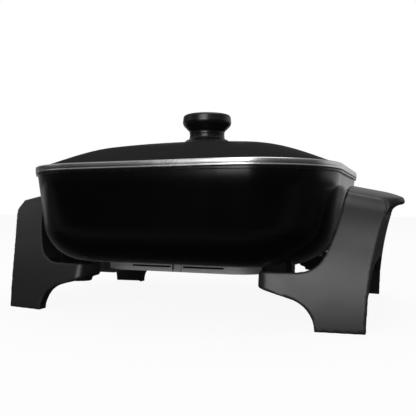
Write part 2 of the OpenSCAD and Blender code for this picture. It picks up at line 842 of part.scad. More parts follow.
module dome_sheet() {
  top_steps = 9;
  low_steps = 5;
  rings = concat(
    [for (s = [0.25, 0.5, 0.75]) dome_ring(shoulder_w, s, 0)],
    [for (i = [top_steps:-1:0]) dome_ring(shoulder_w * i / top_steps, 1, 0)],
    [dome_ring(0, 1, 0, dome_foot_z), dome_ring(dome_rim_t, 1, 0, dome_foot_z)],
    [for (i = [0:low_steps]) dome_ring(dome_rim_t + (shoulder_w - dome_rim_t) * i / low_steps, 1, dome_t)],
    [dome_ring(shoulder_w, 0.5, dome_t)]
  );
  count = len(rings);
  top_point = count * ring_points;
  function next(i) = (i + 1) % ring_points;
  function at(k, i) = k * ring_points + i;
  polyhedron(
    points = concat([for (r = rings, p = r) p], [[0, 0, crown_z], [0, 0, crown_z - dome_t]]),
    faces = concat(
      [for (k = [0:count - 2], i = [0:ring_points - 1]) [at(k + 1, i), at(k, i), at(k, next(i))]],
      [for (k = [0:count - 2], i = [0:ring_points - 1]) [at(k + 1, i), at(k, next(i)), at(k + 1, next(i))]],
      [for (i = [0:ring_points - 1]) [top_point, at(0, next(i)), i]],
      [for (i = [0:ring_points - 1]) [top_point + 1, at(count - 1, i), at(count - 1, next(i))]]
    )
  );
}

module lid_dome() {
  color([0.12, 0.12, 0.12]) difference() {
    dome_sheet();
    post(knob_screw_d / 2 + slack, crown_z - 2 * dome_t, crown_z + cut);
  }
}

// The rim band: a wall round the dome's edge, a floor under it and a lip that drops into the pan
module lid_band() {
  color([0.8, 0.8, 0.8]) round_square(corner_c) {
    translate([dome_corner_r, band_low_z]) square([band_t, band_h]);
    translate([locating_r - band_floor_t, band_low_z])
      square([dome_corner_r - locating_r + band_floor_t + eps, band_floor_t]);
    translate([locating_r - band_floor_t, band_low_z - locating_h]) square([band_floor_t, locating_h + eps]);
  }
}

// ---- Knob ----

// A skirt that spreads the knob's load over the dome and flares up to the knob's waist
module knob_collar() {
  w = waist_d / 2;
  color([0.05, 0.05, 0.05]) difference() {
    rotate_extrude() polygon(concat(
      [[0, crown_z], [collar_r, crown_z], [collar_r, crown_z + collar_edge_t]],
      arc([w + collar_flare_r, knob_low_z], collar_flare_r, 270, 180, 6),
      [[0, knob_low_z]]
    ));
    post(knob_screw_d / 2 + slack, crown_z - cut, knob_low_z + cut);
  }
}

// The knob's half section runs up from its waist, out along a 45 degree cone and round its belly
module knob() {
  r = knob_d / 2;
  w = waist_d / 2;
  belly_c = [r - belly_r, belly_z];
  cone_top = belly_c + belly_r * [cos(cone_turn), -sin(cone_turn)];
  cone_low_r = w + waist_round_r * (1 - cos(cone_turn));
  waist_z = cone_top[1] - (cone_top[0] - cone_low_r) * tan(cone_turn) - waist_round_r * sin(cone_turn);
  waist_c = [w + waist_round_r, waist_z];
  color([0.04, 0.04, 0.04]) difference() {
    rotate_extrude() difference() {
      polygon(concat(
        [[0, knob_low_z], [w, knob_low_z]],
        arc(waist_c, waist_round_r, 180, 180 - cone_turn, 6),
        arc(belly_c, belly_r, -cone_turn, 0),
        arc([r - knob_taper - knob_edge_r, knob_edge_z], knob_edge_r, 0, 75, 6),
        [[0, knob_top_z]]
      ));
      translate([w, knob_groove_z]) circle(knob_groove);
    }
    post(insert_r, knob_low_z - cut, knob_low_z + insert_l);
  }
}

module knob_insert() {
  color([0.8, 0.65, 0.3]) difference() {
    post(insert_r, knob_low_z, knob_low_z + insert_l);
    post(knob_screw_d / 2 + slack, knob_low_z - cut, knob_low_z + insert_l - insert_end_t);
  }
}

module knob_screw() {
  head_z = washer_top_z - knob_washer_t;
  color([0.75, 0.75, 0.75]) translate([0, 0, head_z])
    screw(knob_screw_d, knob_screw_d, knob_screw_d / 2, knob_low_z + insert_l - screw_short - head_z);
}

module knob_washer() {
  color([0.7, 0.7, 0.7]) difference() {
    post(knob_washer_r, washer_top_z - knob_washer_t, washer_top_z);
    post(knob_screw_d / 2 + slack, washer_top_z - 2 * knob_washer_t, crown_z);
  }
}

pan();
heat_ring();
ring_screws();
heating_element();
element_clips();
clip_screws();
terminal_pins();
terminal_insulators();
probe_guard();
guard_screws();
left_handle();
right_handle();
handle_screws();
handle_washers();
lid_dome();
lid_band();
knob();
knob_collar();
knob_insert();
knob_screw();
knob_washer();
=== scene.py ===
import math

import bmesh
import bpy
import numpy as np
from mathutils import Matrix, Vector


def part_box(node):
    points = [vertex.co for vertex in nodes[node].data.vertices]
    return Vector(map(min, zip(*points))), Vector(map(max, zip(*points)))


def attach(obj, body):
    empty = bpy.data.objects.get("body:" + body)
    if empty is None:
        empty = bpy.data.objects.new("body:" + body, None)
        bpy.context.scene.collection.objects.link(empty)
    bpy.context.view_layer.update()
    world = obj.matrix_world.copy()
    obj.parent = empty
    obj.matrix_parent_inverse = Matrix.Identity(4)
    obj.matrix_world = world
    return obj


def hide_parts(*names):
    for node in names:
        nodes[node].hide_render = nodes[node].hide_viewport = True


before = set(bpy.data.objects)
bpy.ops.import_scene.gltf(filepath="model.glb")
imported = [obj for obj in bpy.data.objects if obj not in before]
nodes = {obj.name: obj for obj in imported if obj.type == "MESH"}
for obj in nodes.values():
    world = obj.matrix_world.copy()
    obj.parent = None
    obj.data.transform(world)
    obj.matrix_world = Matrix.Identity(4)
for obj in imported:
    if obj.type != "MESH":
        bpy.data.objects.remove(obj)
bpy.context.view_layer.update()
scene = bpy.context.scene
mm = 0.001
print("frame loaded:", len(nodes), "nodes")


# ---- mesh helpers ----

def newMesh(name, points, faces):
    # a mesh from points and faces, with every face turned outwards
    mesh = bpy.data.meshes.new(name)
    mesh.from_pydata([tuple(p) for p in points], [], [tuple(f) for f in faces])
    bm = bmesh.new()
    bm.from_mesh(mesh)
    bmesh.ops.recalc_face_normals(bm, faces=bm.faces)
    bm.to_mesh(mesh)
    bm.free()
    return mesh


def newPiece(name, mesh, body, material, replaced, sharpTurn):
    # shows a mesh in place of nodes; edges that turn by more than sharpTurn degrees stay sharp
    mesh.shade_smooth()
    mesh.set_sharp_from_angle(angle=math.radians(sharpTurn))
    mesh.materials.clear()
    mesh.materials.append(material)
    piece = bpy.data.objects.new(name, mesh)
    scene.collection.objects.link(piece)
    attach(piece, body)
    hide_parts(*replaced)


def gridFaces(rowCount, pointCount, joinEnds):
    # quads between rows of points, each row a closed loop
    faces = []
    for k in range(rowCount if joinEnds else rowCount - 1):
        low = k * pointCount
        high = (k + 1) % rowCount * pointCount
        for i in range(pointCount):
            j = (i + 1) % pointCount
            faces.append((low + i, low + j, high + j, high + i))
    return faces


def arcPoints(centre, radius, fromTurn, toTurn, steps):
    # points along an arc, between two directions in degrees
    points = []
    for i in range(steps + 1):
        turn = math.radians(fromTurn + (toTurn - fromTurn) * i / steps)
        points.append((centre[0] + radius * math.cos(turn), centre[1] + radius * math.sin(turn)))
    return points


# ---- node helpers ----

def addNode(tree, kind, values=None, **settings):
    node = tree.nodes.new(kind)
    for key, value in settings.items():
        setattr(node, key, value)
    for key, value in (values or {}).items():
        node.inputs[key].default_value = value
    return node


def mathNode(tree, operation, first, second=None):
    node = addNode(tree, "ShaderNodeMath", operation=operation)
    for socket, value in zip(node.inputs, (first, second)):
        if isinstance(value, (int, float)):
            socket.default_value = value
        elif value is not None:
            tree.links.new(value, socket)
    return node.outputs[0]


def rangeNode(tree, value, low, high, toLow=0.0, toHigh=1.0):
    limits = {1: low, 2: high, 3: toLow, 4: toHigh}
    node = addNode(tree, "ShaderNodeMapRange", limits, interpolation_type="SMOOTHSTEP")
    tree.links.new(value, node.inputs[0])
    return node.outputs[0]


def product(tree, first, *others):
    result = first
    for other in others:
        result = mathNode(tree, "MULTIPLY", result, other)
    return result


def mixColours(tree, mask, first, second):
    # a colour is either three numbers or a socket
    node = addNode(tree, "ShaderNodeMix", data_type="RGBA")
    for socket, value in ((node.inputs[0], mask), (node.inputs[6], first), (node.inputs[7], second)):
        if isinstance(value, (tuple, list)):
            socket.default_value = (*value, 1)
        else:
            tree.links.new(value, socket)
    return node.outputs[2]


def mixShaders(tree, share, first, second):
    node = addNode(tree, "ShaderNodeMixShader")
    for socket, output in zip(node.inputs, (share, first, second)):
        tree.links.new(output, socket)
    return node.outputs[0]


def axes(tree, space="Object"):
    # the three coordinates of the shaded point, or of the direction in a world
    place = addNode(tree, "ShaderNodeTexCoord").outputs[space]
    split = addNode(tree, "ShaderNodeSeparateXYZ")
    tree.links.new(place, split.inputs[0])
    return split.outputs


def texture(tree, kind, scale, values=None, **settings):
    # a texture that lies in the piece's own space, with its scale from a socket
    node = addNode(tree, kind, values, **settings)
    place = addNode(tree, "ShaderNodeTexCoord").outputs["Object"]
    tree.links.new(place, node.inputs["Vector"])
    tree.links.new(scale, node.inputs["Scale"])
    return node.outputs


def glossRay(tree, rays):
    return mathNode(tree, "MAXIMUM", rays["Is Glossy Ray"], rays["Is Transmission Ray"])


def grey(level):
    return (level, level, level)


def newGroup(name, inputs, outputs):
    group = bpy.data.node_groups.new(name, "ShaderNodeTree")
    for label, value in inputs.items():
        socket = group.interface.new_socket(label, in_out="INPUT", socket_type="NodeSocketFloat")
        socket.default_value = value
    for label in outputs:
        group.interface.new_socket(label, in_out="OUTPUT", socket_type="NodeSocketFloat")
    given = group.nodes.new("NodeGroupInput").outputs
    result = group.nodes.new("NodeGroupOutput").inputs
    return group, given, result


def placeGroup(tree, group, **values):
    node = tree.nodes.new("ShaderNodeGroup")
    node.node_tree = group
    for label, value in values.items():
        node.inputs[label].default_value = value
    return node.outputs


# ---- shared effects ----

def makeGrain():
    # the fine leathery texture of a moulded part, and a slow drift of its tone
    tree, given, result = newGroup("mouldGrain", {"Scale": 900.0, "Drift": 14.0}, ["Height", "Tone"])
    cells = texture(tree, "ShaderNodeTexVoronoi", given["Scale"], feature="SMOOTH_F1")
    fine = texture(tree, "ShaderNodeTexNoise", given["Scale"], {"Detail": 3.0, "Roughness": 0.6})
    slow = texture(tree, "ShaderNodeTexNoise", given["Drift"], {"Detail": 2.0})
    tree.links.new(product(tree, cells["Distance"], fine["Fac"]), result["Height"])
    tree.links.new(slow["Fac"], result["Tone"])
    return tree


def makeSmudge():
    # faint handling marks and dust that change the gloss
    inputs = {"Scale": 22.0, "Low": 0.0, "High": 1.0}
    tree, given, result = newGroup("handlingMarks", inputs, ["Roughness"])
    cloud = {"Detail": 6.0, "Roughness": 0.62, "Distortion": 0.8}
    marks = texture(tree, "ShaderNodeTexNoise", given["Scale"], cloud)
    mask = rangeNode(tree, marks["Fac"], 0.35, 0.7)
    spread = mathNode(tree, "SUBTRACT", given["High"], given["Low"])
    roughness = mathNode(tree, "ADD", product(tree, mask, spread), given["Low"])
    tree.links.new(roughness, result["Roughness"])
    return tree


def makeWear():
    # where an edge stands proud and has been rubbed
    tree, given, result = newGroup("edgeWear", {"Start": 0.53, "End": 0.6, "Scale": 90.0}, ["Mask"])
    point = addNode(tree, "ShaderNodeNewGeometry").outputs["Pointiness"]
    patches = texture(tree, "ShaderNodeTexNoise", given["Scale"], {"Detail": 4.0})
    edge = addNode(tree, "ShaderNodeMapRange")
    for socket, value in ((0, point), (1, given["Start"]), (2, given["End"])):
        tree.links.new(value, edge.inputs[socket])
    broken = rangeNode(tree, patches["Fac"], 0.4, 0.6, 0.3, 1.0)
    tree.links.new(product(tree, edge.outputs[0], broken), result["Mask"])
    return tree


def makeBrushed():
    # hair-fine polishing lines that run level round a part
    tree, given, result = newGroup("polishLines", {"Scale": 30.0, "Stretch": 60.0}, ["Height", "Tone"])
    across, along, up = axes(tree)
    join = addNode(tree, "ShaderNodeCombineXYZ")
    lines = addNode(tree, "ShaderNodeTexNoise", {"Detail": 4.0, "Roughness": 0.7})
    for socket, value in zip(join.inputs, (across, along, product(tree, up, given["Stretch"]))):
        tree.links.new(value, socket)
    tree.links.new(join.outputs[0], lines.inputs["Vector"])
    tree.links.new(given["Scale"], lines.inputs["Scale"])
    tree.links.new(lines.outputs["Fac"], result["Height"])
    tree.links.new(rangeNode(tree, lines.outputs["Fac"], 0.3, 0.7), result["Tone"])
    return tree


def makeCast():
    # the pitted, slightly mottled skin of a casting
    tree, given, result = newGroup("castSkin", {"Scale": 420.0, "Mottle": 60.0}, ["Height", "Tone"])
    pits = texture(tree, "ShaderNodeTexVoronoi", given["Scale"], feature="F1")
    mottle = texture(tree, "ShaderNodeTexNoise", given["Mottle"], {"Detail": 5.0, "Roughness": 0.65})
    tree.links.new(mathNode(tree, "ADD", pits["Distance"], mottle["Fac"]), result["Height"])
    tree.links.new(mottle["Fac"], result["Tone"])
    return tree


grain = makeGrain()
smudge = makeSmudge()
wear = makeWear()
brushed = makeBrushed()
cast = makeCast()
print("shared effects ready")


# ---- materials ----

finishForm = {"wearStart": 0.52, "wearEnd": 0.58, "sheenRoughness": 0.25, "edgeSamples": 6}


def startMaterial(name, **sockets):
    material = bpy.data.materials.new(name)
    material.use_nodes = True
    tree = material.node_tree
    tree.nodes.clear()
    output = tree.nodes.new("ShaderNodeOutputMaterial")
    shader = tree.nodes.new("ShaderNodeBsdfPrincipled")
    tree.links.new(shader.outputs["BSDF"], output.inputs["Surface"])
    for label, value in sockets.items():
        shader.inputs[label.replace("_", " ")].default_value = value
    return material, tree, shader


def setBump(tree, shader, height, depth, edgeRound, relief=None):
    # the finish's own texture over a larger relief in millimetres, over rounded edges
    bump = addNode(tree, "ShaderNodeBump", {"Distance": depth * mm, "Strength": 1.0})
    tree.links.new(height, bump.inputs["Height"])
    tree.links.new(bump.outputs[0], shader.inputs["Normal"])
    below = bump
    if relief is not None:
        form = addNode(tree, "ShaderNodeBump", {"Distance": mm, "Strength": 1.0})
        tree.links.new(relief, form.inputs["Height"])
        tree.links.new(form.outputs[0], bump.inputs["Normal"])
        below = form
    if edgeRound:
        radius = {"Radius": edgeRound * mm}
        edge = addNode(tree, "ShaderNodeBevel", radius, samples=finishForm["edgeSamples"])
        tree.links.new(edge.outputs[0], below.inputs["Normal"])


def setRoughness(tree, shader, look):
    # handling marks move the roughness between its two ends
    low, high = look["roughness"]
    marks = placeGroup(tree, smudge, Scale=look["markScale"], Low=low, High=high)
    tree.links.new(marks["Roughness"], shader.inputs["Roughness"])


def makePlastic(name, look):
    # moulded plastic, a coating, paint or glaze: "gloss", "sheen" and "relief" are optional
    material, tree, shader = startMaterial(
        name, IOR=look["ior"], Specular_IOR_Level=look.get("gloss", 0.5),
        Sheen_Weight=look.get("sheen", 0.0), Sheen_Roughness=finishForm["sheenRoughness"],
    )
    skin = placeGroup(tree, grain, Scale=look["grainScale"], Drift=look["drift"])
    rubbed = placeGroup(tree, wear, Start=finishForm["wearStart"], End=finishForm["wearEnd"])
    body = mixColours(tree, skin["Tone"], look["dark"], look["light"])
    worn = product(tree, rubbed["Mask"], look["wear"])
    tree.links.new(mixColours(tree, worn, body, look["worn"]), shader.inputs["Base Color"])
    setRoughness(tree, shader, look)
    relief = look["relief"](tree) if "relief" in look else None
    setBump(tree, shader, skin["Height"], look["grainDepth"], look["edgeRound"], relief)
    return material


def makeMetal(name, look):
    # bare or plated metal: polished where "lines" isn't 0, and a cast or rough skin where it is
    material, tree, shader = startMaterial(name, Metallic=look["metallic"])
    if look["lines"]:
        skin = placeGroup(tree, brushed, Scale=look["scale"], Stretch=look["lines"])
    else:
        skin = placeGroup(tree, cast, Scale=look["scale"], Mottle=look["mottle"])
    body = mixColours(tree, skin["Tone"], look["dark"], look["light"])
    # painted shade: where "shade" gives a mask, the colour turns to "shadeColour" there
    if "shade" in look:
        body = mixColours(tree, look["shade"](tree), body, look["shadeColour"])
    tree.links.new(body, shader.inputs["Base Color"])
    setRoughness(tree, shader, look)
    setBump(tree, shader, skin["Height"], look["depth"], look["edgeRound"])
    return material


rimForm = {"rollFrom": 118.0, "rollTo": 133.0}
# each pair is where a soft edge of the painted shade begins and ends, from the ring's middle
grooveShadeEdges = {
    "groovePast": (81.95, 81.6), "outerWall": (79.6, 80.2), "grooveFar": (48.2, 47.8),
    "grooveNear": (5.8, 6.2), "recessNear": (3.6, 4.1), "recessFar": (5.0, 4.5),
}


def rimRoll(tree):
    # the pan's wall turns upright over the last of its height
    up = axes(tree)[2]
    rise = addNode(tree, "ShaderNodeMapRange", {1: rimForm["rollFrom"] * mm, 2: rimForm["rollTo"] * mm})
    tree.links.new(up, rise.inputs[0])
    return mathNode(tree, "MULTIPLY", mathNode(tree, "POWER", rise.outputs[0], 2.0), -1.0)


def ringGrooveShade(tree):
    # painted shade: the blind grooves of the ring and the edges of its middle recess are painted
    # near-black, standing in for the shade inside them
    across, along = axes(tree)[:2]
    reach = mathNode(tree, "ABSOLUTE", across)
    depth = mathNode(tree, "ABSOLUTE", along)

    def within(value, label):
        low, high = grooveShadeEdges[label]
        return rangeNode(tree, value, low * mm, high * mm)

    slot = product(tree, within(depth, "groovePast"), within(reach, "grooveFar"))
    slot = product(tree, slot, within(reach, "grooveNear"))
    recess = product(tree, within(reach, "recessNear"), within(reach, "recessFar"))
    return product(tree, mathNode(tree, "MAXIMUM", slot, recess), within(depth, "outerWall"))


handlePlastic = makePlastic("satinCharcoalPlastic", {
    "dark": grey(0.011), "light": grey(0.014), "worn": grey(0.03), "wear": 0.3,
    "roughness": (0.34, 0.40), "ior": 1.5, "grainScale": 1500.0, "drift": 16.0,
    "markScale": 18.0, "grainDepth": 0.05, "edgeRound": 0.0,
})
knobPlastic = makePlastic("glossBlackPlastic", {
    "dark": grey(0.003), "light": grey(0.005), "worn": grey(0.02), "wear": 0.2,
    "roughness": (0.26, 0.34), "ior": 1.5, "grainScale": 500.0, "drift": 30.0,
    "markScale": 40.0, "grainDepth": 0.006, "edgeRound": 0.35,
})
panCoating = makePlastic("glossBlackCoating", {
    "dark": grey(0.0007), "light": grey(0.0012), "worn": grey(0.006), "wear": 0.1,
    "roughness": (0.17, 0.21), "ior": 1.45, "sheen": 0.12, "grainScale": 700.0, "drift": 20.0,
    "markScale": 14.0, "grainDepth": 0.01, "edgeRound": 0.8, "relief": rimRoll,
})
lidCoating = makePlastic("satinGreyCoating", {
    "dark": grey(0.011), "light": grey(0.014), "worn": grey(0.03), "wear": 0.1,
    "roughness": (0.46, 0.54), "ior": 1.12, "gloss": 0.12, "grainScale": 1800.0, "drift": 10.0,
    "markScale": 12.0, "grainDepth": 0.02, "edgeRound": 0.0,
})
guardPaint = makePlastic("blackSheetPaint", {
    "dark": grey(0.012), "light": grey(0.018), "worn": grey(0.12), "wear": 0.5,
    "roughness": (0.35, 0.5), "ior": 1.45, "grainScale": 600.0, "drift": 30.0,
    "markScale": 40.0, "grainDepth": 0.01, "edgeRound": 0.4,
})
ceramic = makePlastic("glazedCeramic", {
    "dark": (0.62, 0.58, 0.50), "light": (0.74, 0.71, 0.64), "worn": (0.45, 0.4, 0.33), "wear": 0.4,
    "roughness": (0.18, 0.35), "ior": 1.52, "grainScale": 400.0, "drift": 120.0,
    "markScale": 90.0, "grainDepth": 0.02, "edgeRound": 0.4,
})
bandSteel = makeMetal("polishedSteel", {
    "metallic": 1.0, "dark": grey(0.74), "light": grey(0.84), "roughness": (0.22, 0.3),
    "lines": 60.0, "scale": 30.0, "markScale": 16.0, "depth": 0.003, "edgeRound": 0.0,
})
ringAlloy = makeMetal("mattCastAluminium", {
    "metallic": 0.6, "dark": grey(0.42), "light": grey(0.55), "roughness": (0.45, 0.6),
    "lines": 0.0, "scale": 420.0, "mottle": 70.0, "markScale": 35.0, "depth": 0.06, "edgeRound": 0.3,
    # the ring's grooves and recess edges get a near-black painted shade
    "shade": ringGrooveShade, "shadeColour": grey(0.004),
})
smallSteel = makeMetal("zincPlatedSteel", {
    "metallic": 1.0, "dark": (0.46, 0.46, 0.45), "light": (0.6, 0.6, 0.58), "roughness": (0.28, 0.42),
    "lines": 0.0, "scale": 900.0, "mottle": 150.0, "markScale": 120.0, "depth": 0.01, "edgeRound": 0.15,
})
pinPlating = makeMetal("nickelPlating", {
    "metallic": 1.0, "dark": (0.6, 0.58, 0.54), "light": (0.7, 0.68, 0.64), "roughness": (0.16, 0.26),
    "lines": 30.0, "scale": 60.0, "markScale": 90.0, "depth": 0.01, "edgeRound": 0.5,
})
elementSheath = makeMetal("oxidisedSheath", {
    "metallic": 0.7, "dark": (0.05, 0.048, 0.046), "light": (0.12, 0.11, 0.1), "roughness": (0.42, 0.6),
    "lines": 0.0, "scale": 1200.0, "mottle": 45.0, "markScale": 30.0, "depth": 0.03, "edgeRound": 0.0,
})
insertBrass = makeMetal("plainBrass", {
    "metallic": 1.0, "dark": (0.5, 0.33, 0.12), "light": (0.66, 0.47, 0.2), "roughness": (0.25, 0.4),
    "lines": 0.0, "scale": 800.0, "mottle": 90.0, "markScale": 60.0, "depth": 0.01, "edgeRound": 0.3,
})
finishes = {
    "pan": panCoating, "heat_ring": ringAlloy, "ring_screws": smallSteel,
    "heating_element": elementSheath, "element_clips": smallSteel, "clip_screws": smallSteel,
    "terminal_pins": pinPlating, "terminal_insulators": ceramic, "probe_guard": guardPaint,
    "guard_screws": smallSteel, "left_handle": handlePlastic, "right_handle": handlePlastic,
    "handle_screws": smallSteel, "handle_washers": smallSteel, "lid_dome": lidCoating,
    "lid_band": bandSteel, "knob": knobPlastic, "knob_collar": knobPlastic,
    "knob_insert": insertBrass, "knob_screw": smallSteel, "knob_washer": smallSteel,
}
for nodeName, finish in finishes.items():
    nodes[nodeName].data.materials.clear()
    nodes[nodeName].data.materials.append(finish)
print("materials ready:", len(bpy.data.materials))


# ---- handles ----

handle = {
    "weld": 0.002, "voxel": 1.1, "sharpTurn": 80,
    # general softening: it fades out over footKeep above the table
    "softPasses": 16, "softSteps": (0.6, -0.55), "footKeep": 8.0,
    # the edges under the top, at these depths and distances from the middle
    "creasePasses": 24, "creaseSteps": (0.5,), "creaseDepth": (3.0, 8.0), "creaseFrom": (58.0, 66.0),
    # the plane of the top, from which depths are measured
    "topHeight": 122.8, "topFrom": 152.5, "topSlope": 11.6, "topBow": 380.0,
    # the swell of the front and back faces, by depth under the top
    "swellFrom": 2.0, "swellMiddle": 12.0, "swellTo": 42.0, "swellOut": 1.3, "swellTurn": (0.5, 0.8),
}


def smoothPoints(points, graph, share, passes, steps):
    # moves each point towards the middle of its neighbours, step by step
    pairs, starts, counts = graph
    for _ in range(passes):
        for step in steps:
            around = np.add.reduceat(points[pairs], starts, axis=0) / counts
            points = points + step * share * (around - points)
    return points


def fade(value, low, high):
    t = np.clip((value - low) / (high - low), 0, 1)
    return t * t * (3 - 2 * t)


def skinMesh(nodeName, values):
    # one closed skin over the solid, in even small faces
    source = bpy.data.objects.new("mouldedSource", nodes[nodeName].data.copy())
    scene.collection.objects.link(source)
    bm = bmesh.new()
    bm.from_mesh(source.data)
    bmesh.ops.remove_doubles(bm, verts=bm.verts, dist=values["weld"] * mm)
    bm.to_mesh(source.data)
    bm.free()
    skin = source.modifiers.new("skin", "REMESH")
    skin.mode = "VOXEL"
    skin.voxel_size = values["voxel"] * mm
    shown = source.evaluated_get(bpy.context.evaluated_depsgraph_get())
    mesh = bpy.data.meshes.new_from_object(shown)
    bpy.data.objects.remove(source)
    return mesh


def readVectors(items, label):
    numbers = np.empty(len(items) * 3)
    items.foreach_get(label, numbers)
    return numbers.reshape(-1, 3)


def writePoints(mesh, points):
    mesh.vertices.foreach_set("co", points.ravel())
    mesh.update()


def meshGraph(mesh):
    # every point's neighbours in one list, with where each point's own begin and their number
    edges = np.empty(len(mesh.edges) * 2, np.int64)
    mesh.edges.foreach_get("vertices", edges)
    edges = edges.reshape(-1, 2)
    both = np.concatenate([edges, edges[:, ::-1]])
    both = both[np.argsort(both[:, 0], kind="stable")]
    counts = np.bincount(both[:, 0], minlength=len(mesh.vertices))
    starts = np.concatenate([[0], np.cumsum(counts)[:-1]])
    return both[:, 1], starts, counts[:, None]


def topDepth(points, values):
    # how far each point lies under the handle's sloping, bowed top
    slope = math.tan(math.radians(values["topSlope"]))
    outward = np.abs(points[:, 0]) - values["topFrom"]
    bow = values["topBow"] - np.sqrt(values["topBow"] ** 2 - points[:, 1] ** 2)
    return values["topHeight"] - outward * slope - bow - points[:, 2]


def swellFaces(points, normals, values):
    # the front and back faces swell a little below the handle's top
    depth = topDepth(points / mm, values)
    swell = fade(depth, values["swellFrom"], values["swellMiddle"])
    swell = swell * (1 - fade(depth, values["swellMiddle"], values["swellTo"]))
    outward = fade(normals[:, 1] * np.sign(points[:, 1]), *values["swellTurn"])
    side = fade(np.abs(points[:, 1]) / mm, *values["creaseFrom"])
    return points + normals * (swell * outward * side * values["swellOut"] * mm)[:, None]


def mouldedMesh(nodeName, values):
    # the handle's skin, with its creases softened as a mould softens them
    low, high = (np.array(corner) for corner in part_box(nodeName))
    mesh = skinMesh(nodeName, values)
    graph = meshGraph(mesh)
    points = readVectors(mesh.vertices, "co")
    share = np.ones_like(points)
    share[:, 2] = fade(points[:, 2], 0, values["footKeep"] * mm)
    points = smoothPoints(points, graph, share, values["softPasses"], values["softSteps"])
    side = np.abs(points[:, 1]) / mm
    depth = topDepth(points / mm, values)
    crease = fade(side, *values["creaseFrom"]) * (1 - fade(depth, *values["creaseDepth"]))
    points = smoothPoints(points, graph, crease[:, None], values["creasePasses"], values["creaseSteps"])
    writePoints(mesh, points)
    points = swellFaces(points, readVectors(mesh.vertices, "normal"), values)
    writePoints(mesh, np.clip(points, low, high))
    return mesh


for side in ("left", "right"):
    skin = mouldedMesh(side + "_handle", handle)
    name = side + "HandleMoulding"
    newPiece(name, skin, "base", handlePlastic, [side + "_handle"], handle["sharpTurn"])
    print(side, "handle:", len(skin.vertices), "points")


# ---- lid dome ----

dome = {
    "cornerCentre": 65.5, "cornerRadius": 84.5, "shoulder": 80.0, "edgeHeight": 139.7, "rise": 27.4,
    "crown": 1107.0, "fullness": 2.1, "sheet": 1.6, "rimThickness": 2.2, "foot": 135.6, "hole": 2.7,
    "cornerSteps": 24, "sideSteps": 10, "shoulderRings": 34, "crownRings": 14, "sharpTurn": 35,
}


def squareLoop(cornerCentre, radius, cornerSteps, sideSteps):
    # a loop round a square with round corners, anticlockwise
    points = []
    for quarter in range(4):
        cosine, sine = math.cos(math.radians(90 * quarter)), math.sin(math.radians(90 * quarter))
        for i in range(cornerSteps + sideSteps):
            bend = math.radians(90 * min(i, cornerSteps) / cornerSteps)
            along = 1 - 2 * max(i - cornerSteps, 0) / sideSteps
            x = cornerCentre * (along if i > cornerSteps else 1) + radius * math.cos(bend)
            y = cornerCentre + radius * math.sin(bend)
            points.append((x * cosine - y * sine, x * sine + y * cosine))
    return points


def domeHeight(x, y, inward, values):
    # a broad crown that a full shoulder brings down to the edge
    crown = values["rise"] - values["crown"] + math.sqrt(values["crown"] ** 2 - x * x - y * y)
    fullness = 1 - (1 - min(inward / values["shoulder"], 1)) ** values["fullness"]
    return values["edgeHeight"] + crown * fullness


def domeRing(inward, shrink, drop, values, height=None):
    # one loop of the sheet, a distance inward from the edge, or shrunk towards the knob's hole
    radius = values["cornerRadius"] - inward
    loop = squareLoop(values["cornerCentre"], radius, values["cornerSteps"], values["sideSteps"])
    ring = []
    for x, y in loop:
        x, y = x * shrink, y * shrink
        z = domeHeight(x, y, inward, values) - drop if height is None else height
        ring.append((x * mm, y * mm, z * mm))
    return ring


def buildDome(values):
    # over the top from the hole to the edge, down, and back to the hole underneath
    inner = values["hole"] / (values["cornerCentre"] + values["cornerRadius"] - values["shoulder"])
    shrinks = [inner + (1 - inner) * i / values["crownRings"] for i in range(values["crownRings"])]
    steps = values["shoulderRings"]
    inwards = [values["shoulder"] * (1 - i / steps) for i in range(steps + 1)]
    rings = [domeRing(values["shoulder"], shrink, 0, values) for shrink in shrinks]
    rings += [domeRing(inward, 1, 0, values) for inward in inwards]
    rings.append(domeRing(0, 1, 0, values, values["foot"]))
    rings.append(domeRing(values["rimThickness"], 1, 0, values, values["foot"]))
    under = [inward for inward in reversed(inwards) if inward > values["rimThickness"]]
    rings += [domeRing(inward, 1, values["sheet"], values) for inward in under]
    for shrink in reversed(shrinks):
        rings.append(domeRing(values["shoulder"], shrink, values["sheet"], values))
    points = [point for ring in rings for point in ring]
    mesh = newMesh("domeSheet", points, gridFaces(len(rings), len(rings[0]), True))
    newPiece("lidDomeSheet", mesh, "lid", lidCoating, ["lid_dome"], values["sharpTurn"])


buildDome(dome)
print("lid dome ready")


# ---- rim band ----

band = {
    "cornerCentre": 65.5, "outer": 87.5, "inner": 84.5, "low": 134.4, "high": 140.5,
    "beadRadius": 0.8, "beadTurn": 40, "lipRadius": 1.1, "lipTurn": 15, "arcSteps": 7,
    "faceSwell": 0.12, "faceSet": 0.1, "faceSteps": 6,
    "flange": 1.2, "flangeIn": 78.32, "lipIn": 79.52, "lipLow": 130.4,
    "cornerSteps": 28, "sideSteps": 8, "sharpTurn": 40,
}


def bandProfile(values):
    # a rounded top edge, a face that swells a little, and a small rolled bead below
    outer, low, high = values["outer"], values["low"], values["high"]
    bead, lip, steps = values["beadRadius"], values["lipRadius"], values["arcSteps"]
    inner, flangeIn, lipIn = values["inner"], values["flangeIn"], values["lipIn"]
    flangeTop = low + values["flange"]
    profile = [(flangeIn, values["lipLow"]), (lipIn, values["lipLow"]), (lipIn, low)]
    profile += arcPoints((outer - bead, low + bead), bead, -90, values["beadTurn"], steps)
    start, end = low + 2 * bead, high - lip
    for i in range(values["faceSteps"] + 1):
        share = i / values["faceSteps"]
        swell = values["faceSwell"] * 4 * share * (1 - share)
        setIn = values["faceSet"] * (1 - share) + values["faceSwell"]
        profile.append((outer - setIn + swell, start + (end - start) * share))
    lipCentre = (outer - values["faceSwell"] - lip, high - lip)
    profile += arcPoints(lipCentre, lip, values["lipTurn"], 90, steps)
    profile += [(inner, high), (inner, flangeTop), (flangeIn, flangeTop)]
    return profile


